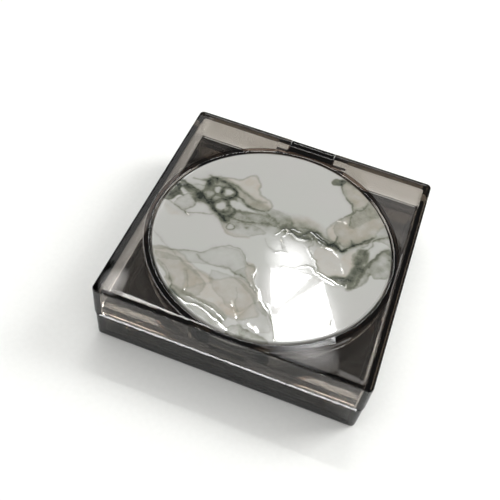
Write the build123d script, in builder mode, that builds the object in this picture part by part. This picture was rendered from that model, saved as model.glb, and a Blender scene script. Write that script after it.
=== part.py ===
from build123d import *
import os

# A square hinged compact case of clear smoke plastic. The lid carries a round
# marbled disc on top and a round mirror inside. The base holds a removable
# refill (cup, wet sponge, membrane) under a hinged inner lid with a soft puff.
# Frame: +Z up, -Y is the latch side, +Y the hinge side. The origin is the
# centre of the underside. Millimetres.

OVERRUN = 1.0             # how far a cut runs past the face it starts on

# --- case ---
WIDTH = 78.0
HEIGHT = 21.6
SEAM_TOP = 11.05
SEAM_BOTTOM = 10.8
WALL = 2.0
CORNER_R = 1.5
INNER_CORNER_R = 0.8
HALF = WIDTH / 2
INSIDE = HALF - WALL
ROUND_Y = -2.5            # centre of every round piece, a little towards the latch

# --- lid ---
PLATE_BOTTOM = 19.5
RECESS_R = 34.95
RECESS_FLOOR = 20.5
RECESS_CHAMFER = 0.3
BOSS_OUTER_R = 36.3
BOSS_INNER_R = 34.9
BOSS_BOTTOM = 14.5
LID_EDGE_R = 0.4
TAB_HALF_WIDTH = 5.0
TAB_ROOT = 0.5            # how far the tab runs into the wall
TAB_TOP = 15.3
TAB_SLOPE_REACH = 0.75
TAB_SLOPE_BOTTOM = 14.2
TAB_NOSE_REACH = 0.9
TAB_NOSE_BOTTOM = 12.6
TAB_FOOT_REACH = 0.65
TAB_FOOT_TOP = 12.0

# --- lid dressing ---
DISC_R = 34.8
DISC_CHAMFER = 0.12
DISC_TAPE_R = 34.2
DISC_TAPE_T = 0.1
MIRROR_R = 34.3
MIRROR_T = 1.2
MIRROR_CHAMFER = 0.3
MIRROR_TAPE_R = 33.0
MIRROR_TAPE_T = 0.2

# --- main hinge, its axis along X ---
HINGE_Y = 36.85
HINGE_Z = 13.4
SWEEP_R = HALF - HINGE_Y  # the lid's lower back edge is rounded about the axis
SWEEP_CUT = 4.0
BLOCK_R = 2.05
BLOCK_HALF_WIDTH = 7.2
BLOCK_TOP_Y = 36.25
BLOCK_SIDE_GAP = 0.15
BLOCK_TOP_GAP = 0.1
BLOCK_CHAMFER = 0.15
LUG_R = 2.0
LUG_INNER_X = 7.45
LUG_OUTER_X = 11.5
LUG_NECK_Y = 35.4
LUG_NECK_Z = 9.0
NOTCH_HALF_WIDTH = 11.8
NOTCH_TOP = 16.5
NOTCH_INSET = 0.1
PIN_R = 0.75
PIN_HALF_LENGTH = 11.4
PIN_PRESS_R = 0.76
PIN_RUNNING_R = 0.80
PIN_CHAMFER = 0.15

# --- base ---
BASE_HALF_TOP = 38.85
BASE_DRAFT = 1.06
BASE_HALF_BOTTOM = 38.65
FLOOR = 1.8
BASE_EDGE_R = 0.7
REBATE_HALF = 38.35
REBATE_Z = 10.2
LEDGE_CHAMFER = 0.35
BACK_CHAMFER = 1.6

# --- inner frame ---
DECK_HALF = 36.6
DECK_BACK_Y = 34.5
DECK_TOP = 13.4
DECK_BOTTOM = 11.9
DECK_NOTCH_Y = -35.85
CATCH_GAP = 0.4
CATCH_BOTTOM = 10.6
WELL_R = 32.2
WELL_OUTER_R = 33.4
WELL_BOTTOM = 9.5
LEDGE_R = 30.4
LEDGE_TOP = 10.7
SKIRT_HALF_WIDTH = 29.0
SKIRT_OUTER = 36.5
SKIRT_T = 1.0
SKIRT_BOTTOM = 3.5
BEAD_R = 0.35
BEAD_REACH = 0.22
BEAD_Z = 7.8
BEAD_INNER_X = 14.0
SHELF_INNER_X = 12.3
SHELF_TOP = 10.8

# --- refill ---
CUP_OUTER_R = 30.2
CUP_INNER_R = 28.4
CUP_BOTTOM = 2.0
CUP_FLOOR = 1.0
CUP_CHAMFER = 1.0
CUP_STEP_R = 29.3
CUP_STEP_Z = 10.25
FLANGE_R = 32.0
FLANGE_TOP = 11.7
SPONGE_R = 28.1
SPONGE_TOP = 10.15
MEMBRANE_R = 29.2
MEMBRANE_T = 0.15
RING_INNER_R = 27.2
RING_TOP = 11.4

# --- inner lid, its hinge axis along X ---
INNER_LID_R = 31.6
INNER_LID_BOTTOM = 12.1
INNER_LID_TOP = 13.3
INNER_AXIS_Y = 31.2
INNER_AXIS_Z = 12.3
BARREL_R = 1.0
BARREL_HALF_WIDTH = 6.0
BARREL_ROOT_Y = 26.0
EAR_INNER_X = 6.2
EAR_OUTER_X = 9.2
EAR_FRONT_Y = 29.9
EAR_BACK_Y = 32.7
EAR_BOTTOM = 10.9
POCKET_FRONT_Y = 28.0
POCKET_BACK_Y = 32.5
POCKET_BOTTOM = 11.0
INNER_PIN_R = 0.4
INNER_PIN_PRESS_R = 0.41
INNER_PIN_RUNNING_R = 0.46
INNER_PIN_HALF_LENGTH = 9.0
SEAL_OUTER_R = 28.8
SEAL_INNER_R = 27.8
SEAL_BOTTOM = 11.45
GRIP_HALF_WIDTH = 5.0
GRIP_FRONT_Y = -33.4
GRIP_BACK_Y = -32.2
GRIP_HEIGHT = 0.8

# --- puff ---
PUFF_R = 27.0
PUFF_EDGE_R = 1.2
PUFF_BOTTOM = 13.4
PUFF_FOAM_TOP = 16.4
PUFF_BACKING_TOP = 16.9
RIBBON_TOP = 17.3
RIBBON_WIDTH = 15.0
RIBBON_SETBACK = 0.3

ROUND_AXIS = Axis((0, ROUND_Y, 0), (0, 0, 1))
ROUND_PLANE = Plane(origin=(0, ROUND_Y, 0), x_dir=(1, 0, 0), z_dir=(0, -1, 0))


def save(piece, name):
    """Label a finished piece and write its STEP file."""
    piece.part.label = name
    export_step(piece.part, f"parts/{name}.step")


def round_plane(z):
    """A level plane at height z, centred on the round pieces."""
    return Plane((0, ROUND_Y, z))


def disc(radius, bottom, top, mode=Mode.ADD):
    """A flat cylinder on the round pieces' axis."""
    with BuildSketch(round_plane(bottom)) as outline:
        Circle(radius)
    extrude(outline.sketch, amount=top - bottom, mode=mode)


def ring(outer, inner, bottom, top):
    """A flat ring on the round pieces' axis."""
    with BuildSketch(round_plane(bottom)) as outline:
        Circle(outer)
        Circle(inner, mode=Mode.SUBTRACT)
    extrude(outline.sketch, amount=top - bottom)


def block(x0, x1, y0, y1, z0, z1, mode=Mode.ADD):
    """A box given by its two opposite corners."""
    with BuildSketch(Plane.XY.offset(z0)) as outline:
        with Locations(((x0 + x1) / 2, (y0 + y1) / 2)):
            Rectangle(x1 - x0, y1 - y0)
    extrude(outline.sketch, amount=z1 - z0, mode=mode)


def rod(radius, x0, x1, y, z, mode=Mode.ADD):
    """A cylinder along X through (y, z)."""
    with BuildSketch(Plane.YZ.offset(x0)) as outline:
        with Locations((y, z)):
            Circle(radius)
    extrude(outline.sketch, amount=x1 - x0, mode=mode)


def prism(points, x0, x1, mode=Mode.ADD):
    """A prism along X whose section is the closed outline of (y, z) points."""
    with BuildSketch(Plane.YZ.offset(x0)) as outline:
        with BuildLine():
            Polyline(*points, close=True)
        make_face()
    extrude(outline.sketch, amount=x1 - x0, mode=mode)


def both_sides(x0, x1):
    """The same span of X on the right and on the left."""
    return [(x0, x1), (-x1, -x0)]


os.makedirs("parts", exist_ok=True)

# ---------------------------------------------------------------- lid shell
with BuildPart() as lid_shell:
    with BuildSketch(Plane.XY.offset(SEAM_TOP)):
        RectangleRounded(WIDTH, WIDTH, CORNER_R)
    extrude(amount=HEIGHT - SEAM_TOP)
    fillet(lid_shell.edges().group_by(Axis.Z)[-1], LID_EDGE_R)
    with BuildSketch(Plane.XY.offset(SEAM_TOP)):
        RectangleRounded(2 * INSIDE, 2 * INSIDE, INNER_CORNER_R)
    extrude(amount=PLATE_BOTTOM - SEAM_TOP, mode=Mode.SUBTRACT)
    ring(BOSS_OUTER_R, BOSS_INNER_R, BOSS_BOTTOM, PLATE_BOTTOM)
    # seat of the marbled disc, with a bright chamfered rim
    disc(RECESS_R, RECESS_FLOOR, HEIGHT, Mode.SUBTRACT)
    rim = lid_shell.edges().filter_by(GeomType.CIRCLE).group_by(Axis.Z)[-1]
    chamfer(rim.sort_by(SortBy.RADIUS)[-1], RECESS_CHAMFER)
    # catch tab inside the front wall
    tab_root = -INSIDE - TAB_ROOT
    tab = [
        (tab_root, TAB_TOP),
        (-INSIDE, TAB_TOP),
        (-INSIDE + TAB_SLOPE_REACH, TAB_SLOPE_BOTTOM),
        (-INSIDE + TAB_NOSE_REACH, TAB_NOSE_BOTTOM),
        (-INSIDE + TAB_FOOT_REACH, TAB_FOOT_TOP),
        (-INSIDE + TAB_FOOT_REACH, SEAM_TOP),
        (tab_root, SEAM_TOP),
    ]
    prism(tab, -TAB_HALF_WIDTH, TAB_HALF_WIDTH)
    # the back wall: full-height notch for the hinge block, low notch for the lugs
    notch_half = BLOCK_HALF_WIDTH + BLOCK_SIDE_GAP
    notch_front = BLOCK_TOP_Y - BLOCK_SIDE_GAP
    past_back = HALF + OVERRUN
    block(-notch_half, notch_half, notch_front, past_back, 0, HEIGHT + OVERRUN, Mode.SUBTRACT)
    block(-NOTCH_HALF_WIDTH, NOTCH_HALF_WIDTH, INSIDE - NOTCH_INSET, past_back, 0, NOTCH_TOP, Mode.SUBTRACT)
    # lower back edge rounded about the hinge axis, so that it turns in its own space
    with BuildSketch(Plane.YZ.offset(-past_back)):
        with Locations((HINGE_Y, HINGE_Z)):
            Rectangle(SWEEP_CUT, SWEEP_CUT, align=(Align.MIN, Align.MAX))
            Circle(SWEEP_R, mode=Mode.SUBTRACT)
    extrude(amount=2 * past_back, mode=Mode.SUBTRACT)
save(lid_shell, "lid_shell")

# ---------------------------------------------------------------- pieces bonded to the lid
with BuildPart() as marble_disc:
    disc(DISC_R, RECESS_FLOOR + DISC_TAPE_T, HEIGHT)
    chamfer(marble_disc.edges().group_by(Axis.Z)[-1], DISC_CHAMFER)
save(marble_disc, "marble_disc")

with BuildPart() as disc_tape:
    disc(DISC_TAPE_R, RECESS_FLOOR, RECESS_FLOOR + DISC_TAPE_T)
save(disc_tape, "disc_tape")

mirror_top = PLATE_BOTTOM - MIRROR_TAPE_T
with BuildPart() as mirror_plate:
    disc(MIRROR_R, mirror_top - MIRROR_T, mirror_top)
    chamfer(mirror_plate.edges().group_by(Axis.Z)[0], MIRROR_CHAMFER)
save(mirror_plate, "mirror")

with BuildPart() as mirror_tape:
    disc(MIRROR_TAPE_R, mirror_top, PLATE_BOTTOM)
save(mirror_tape, "mirror_tape")

with BuildPart() as hinge_block:
    under_plate = PLATE_BOTTOM - BLOCK_TOP_GAP
    block_back = HINGE_Y + BLOCK_R
    section = [
        (HINGE_Y - BLOCK_R, HINGE_Z),
        (HINGE_Y - BLOCK_R, under_plate),
        (BLOCK_TOP_Y, under_plate),
        (BLOCK_TOP_Y, HEIGHT - BLOCK_TOP_GAP),
        (block_back, HEIGHT - BLOCK_TOP_GAP),
        (block_back, HINGE_Z),
    ]
    prism(section, -BLOCK_HALF_WIDTH, BLOCK_HALF_WIDTH)
    rod(BLOCK_R, -BLOCK_HALF_WIDTH, BLOCK_HALF_WIDTH, HINGE_Y, HINGE_Z)
    rod(PIN_RUNNING_R, -BLOCK_HALF_WIDTH, BLOCK_HALF_WIDTH, HINGE_Y, HINGE_Z, Mode.SUBTRACT)
    chamfer(hinge_block.edges().group_by(Axis.Z)[-1], BLOCK_CHAMFER)
save(hinge_block, "hinge_block")

# ---------------------------------------------------------------- base shell and hinge pin
with BuildPart() as base_shell:
    with BuildSketch():
        RectangleRounded(2 * BASE_HALF_BOTTOM, 2 * BASE_HALF_BOTTOM, CORNER_R)
    extrude(amount=SEAM_BOTTOM, taper=-BASE_DRAFT)
    fillet(base_shell.edges().group_by(Axis.Z)[0], BASE_EDGE_R)
    inner_half = BASE_HALF_BOTTOM - WALL
    with BuildSketch(Plane.XY.offset(FLOOR)):
        RectangleRounded(2 * inner_half, 2 * inner_half, INNER_CORNER_R)
    extrude(amount=SEAM_BOTTOM - FLOOR, taper=-BASE_DRAFT, mode=Mode.SUBTRACT)
    # shadow line under the lid
    with BuildSketch(Plane.XY.offset(REBATE_Z)):
        Rectangle(WIDTH + OVERRUN, WIDTH + OVERRUN)
        RectangleRounded(2 * REBATE_HALF, 2 * REBATE_HALF, CORNER_R, mode=Mode.SUBTRACT)
    extrude(amount=SEAM_BOTTOM - REBATE_Z + OVERRUN, mode=Mode.SUBTRACT)
    # the ledge below it has its outer edge broken
    ledge = base_shell.faces().filter_by(Axis.Z).filter_by_position(Axis.Z, REBATE_Z, REBATE_Z)[0]
    chamfer(ledge.outer_wire().edges(), LEDGE_CHAMFER)
    # back edge chamfered, so that the open lid can lean back
    slope = BASE_HALF_TOP - BACK_CHAMFER + SEAM_BOTTOM
    high = SEAM_BOTTOM + OVERRUN
    far = HALF + OVERRUN
    prism([(slope - high, high), (far, slope - far), (far, high)], -far, far, Mode.SUBTRACT)
    # two lugs that hold the ends of the hinge pin
    for x0, x1 in both_sides(LUG_INNER_X, LUG_OUTER_X):
        block(x0, x1, LUG_NECK_Y, HINGE_Y + LUG_R, LUG_NECK_Z, HINGE_Z)
        rod(LUG_R, x0, x1, HINGE_Y, HINGE_Z)
    rod(PIN_PRESS_R, -LUG_OUTER_X, LUG_OUTER_X, HINGE_Y, HINGE_Z, Mode.SUBTRACT)
save(base_shell, "base_shell")

with BuildPart() as hinge_pin:
    rod(PIN_R, -PIN_HALF_LENGTH, PIN_HALF_LENGTH, HINGE_Y, HINGE_Z)
    chamfer(hinge_pin.edges().filter_by(GeomType.CIRCLE), PIN_CHAMFER)
save(hinge_pin, "hinge_pin")

# ---------------------------------------------------------------- inner frame
with BuildPart() as inner_frame:
    block(-DECK_HALF, DECK_HALF, -DECK_HALF, DECK_BACK_Y, DECK_BOTTOM, DECK_TOP)
    fillet(inner_frame.edges().filter_by(Axis.Z), INNER_CORNER_R)
    ring(WELL_OUTER_R, LEDGE_R, WELL_BOTTOM, DECK_BOTTOM)
    skirt_inner = SKIRT_OUTER - SKIRT_T
    block(-SKIRT_HALF_WIDTH, SKIRT_HALF_WIDTH, -SKIRT_OUTER, -skirt_inner, SKIRT_BOTTOM, DECK_BOTTOM)
    for x0, x1 in both_sides(skirt_inner, SKIRT_OUTER):
        block(x0, x1, -SKIRT_HALF_WIDTH, SKIRT_HALF_WIDTH, SKIRT_BOTTOM, DECK_BOTTOM)
    # at the back a riser steps down to a shelf, clear of the lid's turning edge
    riser_y = DECK_BACK_Y - SKIRT_T
    shelf_bottom = SHELF_TOP - SKIRT_T
    block(-skirt_inner, skirt_inner, riser_y, DECK_BACK_Y, shelf_bottom, DECK_TOP)
    for x0, x1 in both_sides(SHELF_INNER_X, SKIRT_OUTER):
        block(x0, x1, riser_y, SKIRT_OUTER, shelf_bottom, SHELF_TOP)
    for x0, x1 in both_sides(SHELF_INNER_X, SKIRT_HALF_WIDTH):
        block(x0, x1, skirt_inner, SKIRT_OUTER, SKIRT_BOTTOM, SHELF_TOP)
    # snap beads on the front and back skirts
    bead_y = SKIRT_OUTER + BEAD_REACH - BEAD_R
    for x0, x1 in both_sides(BEAD_INNER_X, SKIRT_HALF_WIDTH):
        rod(BEAD_R, x0, x1, -bead_y, BEAD_Z)
        rod(BEAD_R, x0, x1, bead_y, BEAD_Z)
    # ears for the inner lid's pin, then the round well and the pocket between the ears
    for x0, x1 in both_sides(EAR_INNER_X, EAR_OUTER_X):
        block(x0, x1, EAR_FRONT_Y, EAR_BACK_Y, EAR_BOTTOM, DECK_TOP)
    disc(WELL_R, LEDGE_TOP, DECK_TOP, Mode.SUBTRACT)
    block(-EAR_INNER_X, EAR_INNER_X, POCKET_FRONT_Y, POCKET_BACK_Y, POCKET_BOTTOM, DECK_TOP,
          Mode.SUBTRACT)
    rod(INNER_PIN_PRESS_R, -EAR_OUTER_X, EAR_OUTER_X, INNER_AXIS_Y, INNER_AXIS_Z, Mode.SUBTRACT)
    # front edge set back for the lid's catch tab
    catch_half = TAB_HALF_WIDTH + CATCH_GAP
    block(-catch_half, catch_half, -DECK_HALF, DECK_NOTCH_Y, CATCH_BOTTOM, DECK_TOP, Mode.SUBTRACT)
save(inner_frame, "inner_frame")

# ---------------------------------------------------------------- refill
with BuildPart() as refill_cup:
    cup_floor_top = CUP_BOTTOM + CUP_FLOOR
    with BuildSketch(ROUND_PLANE):
        with BuildLine():
            Polyline(
                (0, CUP_BOTTOM),
                (CUP_OUTER_R - CUP_CHAMFER, CUP_BOTTOM),
                (CUP_OUTER_R, CUP_BOTTOM + CUP_CHAMFER),
                (CUP_OUTER_R, LEDGE_TOP),
                (FLANGE_R, LEDGE_TOP),
                (FLANGE_R, FLANGE_TOP),
                (CUP_STEP_R, FLANGE_TOP),
                (CUP_STEP_R, CUP_STEP_Z),
                (CUP_INNER_R, CUP_STEP_Z),
                (CUP_INNER_R, cup_floor_top),
                (0, cup_floor_top),
                close=True,
            )
        make_face()
    revolve(axis=ROUND_AXIS)
save(refill_cup, "refill_cup")

with BuildPart() as sponge:
    disc(SPONGE_R, CUP_BOTTOM + CUP_FLOOR, SPONGE_TOP)
save(sponge, "sponge")

with BuildPart() as membrane:
    disc(MEMBRANE_R, CUP_STEP_Z, CUP_STEP_Z + MEMBRANE_T)
save(membrane, "membrane")

with BuildPart() as membrane_ring:
    ring(MEMBRANE_R, RING_INNER_R, CUP_STEP_Z + MEMBRANE_T, RING_TOP)
save(membrane_ring, "membrane_ring")

# ---------------------------------------------------------------- inner lid
with BuildPart() as inner_lid:
    disc(INNER_LID_R, INNER_LID_BOTTOM, INNER_LID_TOP)
    block(-BARREL_HALF_WIDTH, BARREL_HALF_WIDTH, BARREL_ROOT_Y, INNER_AXIS_Y, INNER_LID_BOTTOM, INNER_LID_TOP)
    rod(BARREL_R, -BARREL_HALF_WIDTH, BARREL_HALF_WIDTH, INNER_AXIS_Y, INNER_AXIS_Z)
    rod(INNER_PIN_RUNNING_R, -BARREL_HALF_WIDTH, BARREL_HALF_WIDTH, INNER_AXIS_Y, INNER_AXIS_Z,
        Mode.SUBTRACT)
    grip_top = INNER_LID_TOP + GRIP_HEIGHT
    block(-GRIP_HALF_WIDTH, GRIP_HALF_WIDTH, GRIP_FRONT_Y, GRIP_BACK_Y, INNER_LID_TOP, grip_top)
save(inner_lid, "inner_lid")

with BuildPart() as inner_lid_pin:
    rod(INNER_PIN_R, -INNER_PIN_HALF_LENGTH, INNER_PIN_HALF_LENGTH, INNER_AXIS_Y, INNER_AXIS_Z)
save(inner_lid_pin, "inner_lid_pin")

with BuildPart() as inner_lid_seal:
    ring(SEAL_OUTER_R, SEAL_INNER_R, SEAL_BOTTOM, INNER_LID_BOTTOM)
save(inner_lid_seal, "inner_lid_seal")

# ---------------------------------------------------------------- puff
with BuildPart() as puff_foam:
    disc(PUFF_R, PUFF_BOTTOM, PUFF_FOAM_TOP)
    fillet(puff_foam.edges().group_by(Axis.Z)[0], PUFF_EDGE_R)
save(puff_foam, "puff_foam")

with BuildPart() as puff_backing:
    disc(PUFF_R, PUFF_FOAM_TOP, PUFF_BACKING_TOP)
save(puff_backing, "puff_backing")

with BuildPart() as puff_ribbon:
    with BuildSketch(round_plane(PUFF_BACKING_TOP)):
        Circle(PUFF_R - RIBBON_SETBACK)
        Rectangle(2 * PUFF_R, RIBBON_WIDTH, mode=Mode.INTERSECT)
    extrude(amount=RIBBON_TOP - PUFF_BACKING_TOP)
save(puff_ribbon, "puff_ribbon")
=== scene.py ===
import math

import bpy
import numpy as np
from mathutils import Matrix, Vector


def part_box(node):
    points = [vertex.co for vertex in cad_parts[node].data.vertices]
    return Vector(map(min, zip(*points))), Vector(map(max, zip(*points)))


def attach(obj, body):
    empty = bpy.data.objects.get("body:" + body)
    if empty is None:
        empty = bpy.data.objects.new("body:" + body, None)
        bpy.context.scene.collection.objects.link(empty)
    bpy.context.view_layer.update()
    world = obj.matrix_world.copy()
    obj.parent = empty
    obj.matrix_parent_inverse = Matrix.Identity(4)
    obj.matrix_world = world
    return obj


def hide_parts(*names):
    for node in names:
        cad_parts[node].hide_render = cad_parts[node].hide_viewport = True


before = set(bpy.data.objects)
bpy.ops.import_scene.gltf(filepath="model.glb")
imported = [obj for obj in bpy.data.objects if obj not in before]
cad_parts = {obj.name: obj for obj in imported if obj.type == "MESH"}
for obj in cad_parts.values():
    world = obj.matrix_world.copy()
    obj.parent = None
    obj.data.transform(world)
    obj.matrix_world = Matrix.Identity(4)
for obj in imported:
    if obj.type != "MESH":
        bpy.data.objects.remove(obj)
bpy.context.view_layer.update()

MM = 0.001
ROUND_Y = (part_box("marble_disc")[0].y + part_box("marble_disc")[1].y) / 2 / MM  # the round pieces' axis

# -------- node helpers


def new_material(name):
    """An empty node material: the material, its tree and its output node."""
    mat = bpy.data.materials.new(name)
    mat.use_nodes = True
    nt = mat.node_tree
    nt.nodes.clear()
    out = nt.nodes.new("ShaderNodeOutputMaterial")
    return mat, nt, out


def node(nt, kind, inputs=None, **props):
    """A node with its properties set and its inputs set or linked."""
    n = nt.nodes.new(kind)
    for key, value in props.items():
        setattr(n, key, value)
    for key, value in (inputs or {}).items():
        if isinstance(value, bpy.types.NodeSocket):
            nt.links.new(value, n.inputs[key])
        else:
            n.inputs[key].default_value = value
    return n


def coords(nt, scale=(1, 1, 1)):
    """The piece's own coordinates in metres, stretched by scale."""
    place = node(nt, "ShaderNodeTexCoord").outputs["Object"]
    return node(nt, "ShaderNodeMapping", {"Vector": place, "Scale": scale}).outputs["Vector"]


def noise(nt, place, scale, detail=3.0, roughness=0.55):
    """Fractal noise, its scale in cells per metre."""
    n = node(nt, "ShaderNodeTexNoise", {
        "Vector": place, "Scale": scale, "Detail": detail, "Roughness": roughness})
    return n.outputs["Fac"]


def map_range(nt, value, low, high, to_low, to_high):
    """value moved from low..high to to_low..to_high, held at the ends."""
    n = node(nt, "ShaderNodeMapRange", {
        "Value": value, "From Min": low, "From Max": high, "To Min": to_low, "To Max": to_high})
    return n.outputs["Result"]


def attribute(nt, name):
    """A number kept on the piece's own points."""
    return node(nt, "ShaderNodeAttribute", attribute_name=name).outputs["Fac"]


def mix(nt, factor, a, b):
    """A colour between a and b, each a colour or a socket."""
    n = node(nt, "ShaderNodeMix", data_type="RGBA")
    for socket, value in ((n.inputs[0], factor), (n.inputs[6], a), (n.inputs[7], b)):
        if isinstance(value, bpy.types.NodeSocket):
            nt.links.new(value, socket)
        elif socket.type == "RGBA":
            socket.default_value = (*value, 1)
        else:
            socket.default_value = value
    return n.outputs[2]


def patchy(nt, value, a, b, low=0.35, high=0.65):
    """Colour a where value is at or under low, b where it is at or over high."""
    return mix(nt, map_range(nt, value, low, high, 0, 1), a, b)


def maths(nt, operation, a, b=0.0):
    """a and b put through a Math node."""
    return node(nt, "ShaderNodeMath", {0: a, 1: b}, operation=operation).outputs[0]


def bump(nt, height, distance, strength=1.0):
    """A normal from a height of 0 to 1 that stands for distance metres."""
    n = node(nt, "ShaderNodeBump", {"Strength": strength, "Distance": distance, "Height": height})
    return n.outputs["Normal"]


def principled(nt, out, **inputs):
    """A Principled shader on the output; underscores in its input names stand for spaces."""
    n = node(nt, "ShaderNodeBsdfPrincipled", {key.replace("_", " "): v for key, v in inputs.items()})
    nt.links.new(n.outputs["BSDF"], out.inputs["Surface"])
    return n


# -------- materials

SMOKE_COLOUR = (0.53, 0.485, 0.43, 1)
SMOKE_IOR = 1.47
SMOKE_ROUGH = 0.012        # its roughest patches
LID_FACE = 21.3            # heights above this are the lid's top face
BAND_R = (35.45, 36.75)    # the band of painted shade round the disc
BAND_LINE = 0.22           # its dark outlines
# painted shade: the dark band round the disc and its darker outlines
BAND_SHADE_COLOUR = (0.16, 0.1, 0.075)
BAND_EDGE_SHADE_COLOUR = (0.02, 0.014, 0.012)
HINGE_ROOT_X = 7.3         # painted shade: the dark zone before the hinge block
HINGE_ROOT_Y = (33, 36.12)
HINGE_SLOT_X = (7.2, 7.5)  # painted shade in the gap at each end of the hinge block
HINGE_SLOT_Y = 30
# painted shade before the hinge block and in its end gaps
HINGE_ROOT_SHADE_COLOUR = (0.04, 0.026, 0.022)
BACK_WALL_Y = 37.05
# painted shade over the lid's back wall
BACK_WALL_SHADE_COLOUR = (0.13, 0.11, 0.1)
LID_DENSITY = 450.0        # how fast the smoke tint deepens, per metre
# painted shade: the base, inner frame and hinge block are the lid's smoke plastic made denser, to darken
# them as their shade does
BASE_SHADE_DENSITY = 1350.0
BLOCK_SHADE_DENSITY = 750.0
PALE_COOL = (0.413, 0.416, 0.39)
PALE_WARM = (0.42, 0.415, 0.395)
BEIGE = (0.36, 0.31, 0.245)
INK_WASH = (0.165, 0.17, 0.13)
INK_DARK = (0.02, 0.025, 0.018)
CREAM_AND_GLINT = (0.78, 0.75, 0.68)


def between(nt, value, low, high):
    """1 where a length lies between two others in millimetres, else 0."""
    above = maths(nt, "GREATER_THAN", value, low * MM)
    return maths(nt, "MULTIPLY", above, maths(nt, "LESS_THAN", value, high * MM))


def lid_painted_shade(nt):
    """Clear, but with painted shade: darker on the lid's top round the disc, over the back wall and before
    the block, and in the gaps at the block's ends.
    """

    def both(a, b):
        return maths(nt, "MULTIPLY", a, b)

    def past(value, limit):
        return maths(nt, "GREATER_THAN", value, limit * MM)

    place = node(nt, "ShaderNodeTexCoord").outputs["Object"]
    x, y, z = node(nt, "ShaderNodeSeparateXYZ", {"Vector": place}).outputs
    along = maths(nt, "SUBTRACT", y, ROUND_Y * MM)
    radius = maths(nt, "SQRT", maths(nt, "ADD", both(x, x), both(along, along)))
    band = between(nt, radius, *BAND_R)
    core = between(nt, radius, BAND_R[0] + BAND_LINE, BAND_R[1] - BAND_LINE)
    root = both(between(nt, x, -HINGE_ROOT_X, HINGE_ROOT_X), between(nt, y, *HINGE_ROOT_Y))
    root = both(root, past(radius, BAND_R[1]))
    slot = both(between(nt, maths(nt, "ABSOLUTE", x), *HINGE_SLOT_X), past(y, HINGE_SLOT_Y))
    top = past(z, LID_FACE)
    # painted shade: the band, the back wall and the zone before the block on the lid's top; the block's end
    # gaps at any height
    colour = mix(nt, both(band, top), (1, 1, 1), BAND_EDGE_SHADE_COLOUR)
    colour = mix(nt, both(core, top), colour, BAND_SHADE_COLOUR)
    colour = mix(nt, both(past(y, BACK_WALL_Y), top), colour, BACK_WALL_SHADE_COLOUR)
    return mix(nt, maths(nt, "MAXIMUM", both(root, top), slot), colour, HINGE_ROOT_SHADE_COLOUR)


def smoke_plastic(name, density, with_painted_shade=False):
    """Clear polished plastic whose smoke tint grows with its thickness; with_painted_shade adds the lid's
    painted shade.
    """
    mat, nt, out = new_material(name)
    place = coords(nt)
    colour = lid_painted_shade(nt) if with_painted_shade else (1, 1, 1, 1)
    rough = map_range(nt, noise(nt, place, 90, 4), 0.52, 0.8, 0.0, SMOKE_ROUGH)
    waves = bump(nt, noise(nt, place, 120, 2), 0.1 * MM, 0.03)
    principled(nt, out, Base_Color=colour, IOR=SMOKE_IOR, Transmission_Weight=1.0, Roughness=rough,
               Normal=waves)
    tint = node(nt, "ShaderNodeVolumeAbsorption", {"Color": SMOKE_COLOUR, "Density": density})
    nt.links.new(tint.outputs["Volume"], out.inputs["Volume"])
    return mat


def marbled_resin():
    """Pale cast resin with ink washes, dark veins, warm tints and cream flecks under gloss, one fleck a
    painted highlight.
    """
    mat, nt, out = new_material("marbled_resin")
    place = coords(nt)
    grain = noise(nt, place, 900, 5, 0.65)
    cloud = noise(nt, place, 60, 3)
    mottle = map_range(nt, grain, 0.3, 0.7, 0.8, 1.18)
    ink = maths(nt, "MULTIPLY", attribute(nt, "ink"), mottle)
    base = patchy(nt, cloud, PALE_COOL, PALE_WARM)
    patches = map_range(nt, noise(nt, place, 220, 4), 0.35, 0.65, 0.6, 1.1)
    warm = maths(nt, "MULTIPLY", attribute(nt, "warm"), patches)
    base = mix(nt, warm, base, BEIGE)
    base = patchy(nt, ink, base, INK_WASH, 0.0, 0.5)
    base = patchy(nt, ink, base, INK_DARK, 0.42, 0.95)
    # cream flecks, and one painted highlight among them
    base = mix(nt, attribute(nt, "fleck_and_glint"), base, CREAM_AND_GLINT)
    rough = map_range(nt, noise(nt, place, 150, 3), 0.35, 0.7, 0.05, 0.1)
    principled(nt, out, Base_Color=base, Roughness=rough, IOR=1.5, Coat_Weight=1.0, Coat_Roughness=0.02,
               Normal=bump(nt, grain, 0.02 * MM, 0.15))
    return mat


def mirror_glass():
    """Silvered glass with faint finger marks."""
    mat, nt, out = new_material("mirror")
    place = coords(nt)
    marks = map_range(nt, noise(nt, place, 70, 5, 0.6), 0.5, 0.75, 0, 1)
    rough = map_range(nt, marks, 0, 1, 0.012, 0.06)
    colour = mix(nt, marks, (0.88, 0.9, 0.91), (0.8, 0.82, 0.83))
    principled(nt, out, Base_Color=colour, Metallic=1.0, Roughness=rough)
    return mat


def steel():
    """Drawn wire: fine lines along X and a little dulling."""
    mat, nt, out = new_material("steel")
    lines = noise(nt, coords(nt, (0.02, 1, 1)), 9000, 3)
    colour = patchy(nt, lines, (0.5, 0.5, 0.51), (0.66, 0.66, 0.66), 0.3, 0.7)
    principled(nt, out, Base_Color=colour, Metallic=1.0,
               Roughness=map_range(nt, lines, 0.3, 0.7, 0.2, 0.38), Normal=bump(nt, lines, 0.01 * MM, 0.4))
    return mat


def refill_plastic():
    """Charcoal moulded plastic with a fine spark-eroded grain."""
    mat, nt, out = new_material("refill_plastic")
    place = coords(nt)
    pits = noise(nt, place, 4500, 3, 0.6)
    patches = noise(nt, place, 120, 4)
    colour = patchy(nt, patches, (0.014, 0.014, 0.015), (0.022, 0.021, 0.021))
    principled(nt, out, Base_Color=colour, Roughness=map_range(nt, patches, 0.3, 0.7, 0.26, 0.42),
               Normal=bump(nt, pits, 0.015 * MM, 0.5))
    return mat


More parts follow.
